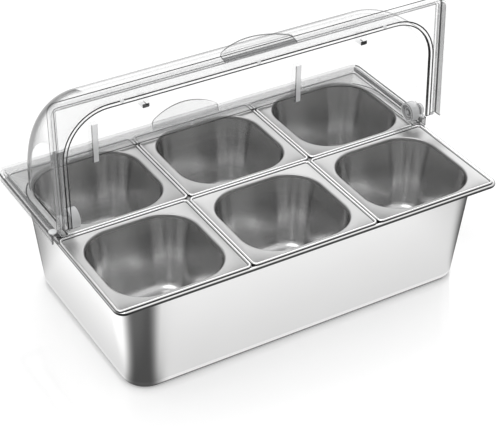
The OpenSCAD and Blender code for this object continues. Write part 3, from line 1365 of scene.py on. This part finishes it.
    def _buttons(self, piece: Piece) -> None:
        """Round buttons on the border beside the hinges.

        Args:
            piece: the mesh that is added to.
        """
        top = self.rise + self.wall
        for side in End:
            self._turned_profile(piece, [(5.0, top - 0.3), (5.0, top + 0.7), (4.5, top + 1.2),
                                         (3.2, top + 1.2), (2.8, top + 0.8), (0, top + 0.8)],
                                 side.value * self.button_place[0], self.button_place[1])


# The hinges


@dataclass
class HingeHardware:
    """The two pins with ringed knobs and their slotted caps.

    Args:
        finish: the pins and the caps.
        ring: the narrow bands painted as grey rings of shade at the knob's steps.
        hinge_z: height of the hinge line.
        ear: place along X of the wall that a knob lies on.
        cap_start: place along X of a cap's inner face.
    """

    finish: bpy.types.Material
    ring: bpy.types.Material
    hinge_z: float = 173.6
    ear: float = 248.5
    cap_start: float = 254.9

    def build(self) -> None:
        """Turn each profile about the hinge line: (x, r * cos, r * sin)."""
        knob = [(0.0, -11), (2.4, -11), (3.0, -10.4), (3.0, -3.4), (5.4, -3.2), (5.6, -9.0),
                (6.0, -9.5), (7.0, -9.5), (7.4, -9.0), (7.6, -3.2), (10.2, -3.2),
                (10.5, -11.4), (11.0, -12.0), (12.2, -12.0), (13.0, -11.2), (13.0, -0.4),
                (12.6, 0.0), (4.0, 0.0), (4.0, 9.9), (0.0, 9.9)]
        cap = [(0.0, 3.5), (4.0, 3.5), (4.0, 0.0), (7.1, 0.0), (7.5, 0.4), (7.5, 4.4),
               (6.9, 5.0), (2.6, 5.0), (2.4, 4.2), (0.0, 4.2)]
        for side in End:
            word = side.name.lower()
            self._turn(f"{word}_pin_knob", knob, (2, 4, 7, 10, 13), self.ear, side,
                       f"{word}_hinge_pin")
            self._turn(f"{word}_pin_end", cap, (3, 6, 7), self.cap_start, side,
                       f"{word}_pin_cap")

    def _turn(self, name: str, profile: Sequence[tuple[float, float]], rings: Sequence[int],
              start: float, side: End, node: str) -> None:
        """Turn one profile (radius, distance from the start) about the hinge line.

        Args:
            name: the piece's name.
            profile: the points.
            rings: the bands of the profile that show as a grey ring.
            start: where the distances start along X.
            side: the end it belongs to.
            node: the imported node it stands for.
        """
        piece = Piece(name)
        slots = np.full(len(profile), piece.slot(self.finish))
        # The step bands take the darker copy that paints the rings of shade.
        slots[list(rings)] = piece.slot(self.ring)
        angle = np.linspace(0, 2 * math.pi, 49)[:-1]
        rows = [np.stack([np.full_like(angle, side.value * (start + x)), r * np.cos(angle),
                          self.hinge_z + r * np.sin(angle)], 1) for r, x in profile]
        piece.add_grid(np.stack(rows), slots, wrap_columns=True)
        piece.build(Body.TRAY, [node], "frosted_plastic", crease=40.0)


# The studio


@dataclass
class Studio:
    """White floor and surroundings, soft lamps and the camera.

    Args:
        azimuth: degrees from the front round to the camera, positive to the right.
        elevation: degrees from the floor up to the camera.
        roll: degrees that the camera is turned about its own axis.
        focal_px: focal length in pixels of the picture.
        distance: metres from the point it looks at.
        aim_height: height of that point over the origin in metres.
        shift_px: vertical shift of the lens in pixels, positive upwards.
        floor_lift: light that the floor gives off, as the camera sees it.
    """

    azimuth: float = -31.08
    elevation: float = 33.42
    roll: float = 0.66
    focal_px: float = 1575.61
    distance: float = 1.96125
    aim_height: float = 0.15
    shift_px: float = -41.82
    floor_lift: float = 0.28

    def build(self) -> None:
        """Build the floor, the world, the lamps and the camera."""
        self._world()
        self._floor()
        self._lamps()
        self._camera()

    def _toward_camera(self, turn: float = 0.0) -> tuple[float, float]:
        """Unit direction from the tray to the camera, seen from above, turned by degrees."""
        angle = math.radians(self.azimuth + turn)
        return math.sin(angle), -math.cos(angle)

    def _world(self) -> None:
        """White for the camera, soft light, and a darker horizon in reflections.

        In a reflection the strength falls from the zenith to the horizon, and most of all
        towards the camera, where a real studio is dark.
        """
        world = bpy.data.worlds.new("studio")
        bpy.context.scene.world = world
        world.use_nodes = True
        graph = Graph(world.node_tree)
        x, y, z = graph.axes(graph.add("ShaderNodeTexCoord", out="Generated"))
        path = graph.add("ShaderNodeLightPath", out="Is Camera Ray")
        outputs = path.socket.node.outputs
        glossy = Wire(graph, outputs["Is Glossy Ray"])
        plain = path.larger(Wire(graph, outputs["Is Transmission Ray"]))
        toward_x, toward_y = self._toward_camera()
        toward = x * toward_x + y * toward_y
        front = toward.step(0.10, 0.45) * (1 - z.step(0.36, 0.62))
        mirrored = (0.30 + 0.52 * z.step(0.10, 0.45) + 0.20 * z.step(0.60, 0.95)) * (
            1 - 0.86 * front)
        ambient = 0.72 + 0.28 * z.step(-0.1, 0.9)
        strength = glossy * mirrored + (1 - glossy) * ambient
        strength = plain + (1 - plain) * strength
        back = graph.add("ShaderNodeBackground", sockets={
            "Color": WHITE, "Strength": strength})
        graph.finish(back, "ShaderNodeOutputWorld")

    def _floor(self) -> None:
        """White floor that keeps the shadow and a faint reflection of the tray.

        In reflections alone it is painted dark in a wedge from the front left corner towards the
        camera and behind the two corners at the sides, and it dims towards the foot of the wall
        as a painted shadow. The distance from the foot is length(max(|p| - corner axis, 0)) -
        corner radius.
        """
        mesh = bpy.data.meshes.new("floor")
        reach = 6.0
        mesh.from_pydata([(-reach, -reach, 0), (reach, -reach, 0), (reach, reach, 0),
                          (-reach, reach, 0)], [], [(0, 1, 2, 3)])
        floor = add_object("floor", mesh)
        material, graph = new_material("studio_floor")
        path = graph.add("ShaderNodeLightPath", out="Is Camera Ray")
        glossy = Wire(graph, path.socket.node.outputs["Is Glossy Ray"])
        x, y, _ = graph.axes(graph.place())
        corner, corner_radius = (0.2055, 0.106), 0.0315

        def sector(side_x: int, side_y: int, turn: float, low: float, high: float) -> Wire:
            """Step on the cosine between a direction and the way from a corner to the point.

            Args:
                side_x: side of the corner along X.
                side_y: side of the corner along Y.
                turn: degrees from the camera's side to the direction.
                low: cosine at which the step begins.
                high: cosine at which it is complete.

            Returns:
                The step, faded out over the last tenth of a metre from 0.2 to 0.3 m where
                the direction leads away from the camera.
            """
            toward_x, toward_y = self._toward_camera(turn)
            across, along = x - side_x * corner[0], y - side_y * corner[1]
            length = (across * across + along * along + 1e-6) ** 0.5
            step = ((across * toward_x + along * toward_y) / length).step(low, high)
            return step if abs(turn) < 90 else step * (1 - length.step(0.20, 0.30))

        wedge = sector(-1, -1, -6.0, 0.42, 0.95)
        behind = (sector(1, -1, 180.0, -0.35, 0.70) * x.step(0.20, 0.23)).larger(
            sector(-1, 1, 180.0, -0.10, 0.75) * (-x).step(0.20, 0.23))
        out_x = (abs(x) - corner[0]).larger(0.0)
        out_y = (abs(y) - corner[1]).larger(0.0)
        gap = (out_x * out_x + out_y * out_y) ** 0.5 - corner_radius
        level = (0.81 + 0.28 * gap.step(-0.02, 0.18)) * (
            1 + 0.38 * (-x).step(0.24, 0.30) - 0.34 * x.step(0.22, 0.36))
        mirrored = level * (1 - 0.90 * wedge) * (1 - 0.88 * behind)
        matt = graph.add("ShaderNodeBsdfPrincipled", sockets={
            "Base Color": grey(0.79), "Roughness": 0.10, "IOR": 1.9}, out="BSDF")
        lift = graph.add("ShaderNodeEmission", sockets={
            "Color": WHITE, "Strength": path * self.floor_lift})
        seen = graph.add("ShaderNodeAddShader", sockets={0: matt, 1: lift})
        reflected = graph.add("ShaderNodeEmission", sockets={
            "Color": WHITE, "Strength": mirrored})
        graph.finish(graph.add("ShaderNodeMixShader", sockets={
            0: glossy, 1: seen, 2: reflected}))
        mesh.materials.append(material)

    def _lamps(self) -> None:
        """One large soft lamp over the left front, one weaker over the right rear."""
        for name, place, size, power in (
                ("soft_lamp", (-0.9, -0.6, 1.9), 1.6, 9.0),
                ("rear_lamp", (0.9, 1.1, 1.7), 1.4, 6.0)):
            lamp = bpy.data.lights.new(name, "AREA")
            lamp.shape = "DISK"
            lamp.size = size
            lamp.energy = power
            holder = add_object(name, lamp)
            holder.location = place
            aim = Vector((0.0, 0.0, 0.1)) - Vector(place)
            holder.rotation_euler = aim.to_track_quat("-Z", "Y").to_euler()

    def _camera(self) -> None:
        """Camera of the photograph, which looks at a point over the origin."""
        az, el, roll = (math.radians(v) for v in (self.azimuth, self.elevation, self.roll))
        back = Vector((math.sin(az) * math.cos(el), -math.cos(az) * math.cos(el),
                       math.sin(el)))
        right = Vector((0, 0, 1)).cross(back).normalized()
        up = back.cross(right)
        turned_right = right * math.cos(roll) + up * math.sin(roll)
        turned_up = up * math.cos(roll) - right * math.sin(roll)
        camera = bpy.data.cameras.new("camera")
        camera.sensor_width = 36.0
        camera.lens = self.focal_px * camera.sensor_width / IMAGE_WIDTH
        camera.shift_y = self.shift_px / IMAGE_WIDTH
        camera.clip_end = 30.0
        holder = add_object("camera", camera)
        turn = Matrix((turned_right, turned_up, back)).transposed().to_4x4()
        place = Vector((0, 0, self.aim_height)) + back * self.distance
        holder.matrix_world = Matrix.Translation(place) @ turn
        bpy.context.scene.camera = holder


def main() -> None:
    logging.basicConfig(level=logging.INFO, format="%(name)s %(message)s")
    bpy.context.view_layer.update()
    bpy.context.scene.view_settings.view_transform = "Standard"
    # The ice pan's wall carries the painted highlight and painted shade lines along its foot.
    wall = BrushedSteel("ice_pan_wall", tone=0.86, roughness=0.21, contrast=0.03,
                        foot_line=True).make()
    # The food pans' insides carry painted shade towards their floors.
    inside = BrushedSteel("food_pan_inside", tone=0.72, roughness=0.21, low_tone=0.76,
                          contrast=0.07, grain=(5.0, 5.0, 700.0)).make()
    flange = BrushedSteel("food_pan_flange", tone=0.54, roughness=0.38, contrast=0.03,
                          grain=(60.0, 60.0, 60.0), depth=0.000004).make()
    bright = BrightSteel("bright_edge").make()
    # Nearly black steel that paints shade under the rolled rim and beside the beads.
    shade = BrightSteel("shaded_edge", tone=0.07, roughness=0.3).make()
    # The bar's low tone is painted shade, for the shade it lies in under the pans' flanges.
    bar = BrushedSteel("bar_sheet", tone=0.30, roughness=0.3,
                       grain=(6.0, 1500.0, 1500.0)).make()
    # Copies of one clear plastic: the plate and white copies paint light, and the line, band,
    # ink, haze and smoke copies paint shade.
    look = CoverFinishes(
        wall=ClearPlastic("clear_wall", tone=0.50, body=0.06).make(),
        painted_grey_shade=ClearPlastic("clear_painted_grey_shade", tone=0.50, body=0.11, edge=0.6).make(),
        painted_dark_corner=ClearPlastic("clear_painted_dark_corner", tone=0.55, line=0.03, body=0.04, edge=0.97,
                           start=0.60, full=0.80).make(),
        plate=ClearPlastic("clear_plate", tone=0.88, body=0.10, edge=0.6).make(),
        line=ClearPlastic("clear_line", tone=0.08, line=0.05, body=0.70, edge=0.9).make(),
        band=ClearPlastic("clear_band", tone=0.22, body=0.60, edge=0.7).make(),
        painted_black_line=ClearPlastic("clear_painted_black_line", tone=0.02, line=0.02, body=0.95, edge=0.97).make(),
        grip=ClearPlastic("clear_grip", tone=0.50, body=0.11, edge=0.6).make(),
        white=ClearPlastic("clear_white", tone=0.92, line=0.25, body=0.75, edge=0.9,
                           start=0.6).make())
    frosted = ClearPlastic("frosted_knob", tone=0.85, line=0.3, body=0.55, edge=0.85,
                           start=0.5, full=0.95, roughness=0.12).make()
    IcePan(wall, bright, shade).build()
    FoodPans(inside, flange, bright, shade).build()
    SupportBar(bar).build()
    faint = replace(look, wall=ClearPlastic(
        "clear_wall_faint", tone=0.50, body=0.06, edge=0.20).make(), painted_dark_corner=look.wall,
        painted_grey_shade=ClearPlastic("clear_painted_grey_shade_rear", tone=0.50, body=0.18, edge=0.6).make())
    HalfCover("rear_cover", Body.TRAY, faint, radius=141.0, end=251.0, blend=55.0, drop=22.9,
              over=0.0, rib_height=55.0, opened=None, buttons=True).build()
    HalfCover("front_cover", Body.FRONT_HALF, look, radius=145.5, end=254.5, blend=58.0,
              drop=22.5, over=5.70, rib_height=14.0, opened=92.2).build()
    # Darker copy of the knob's plastic that paints the rings of shade at its steps.
    ring = ClearPlastic("frosted_ring", tone=0.28, line=0.2, body=0.60, edge=0.8,
                        roughness=0.12).make()
    HingeHardware(frosted, ring).build()
    Studio().build()


if __name__ == "__main__":
    main()
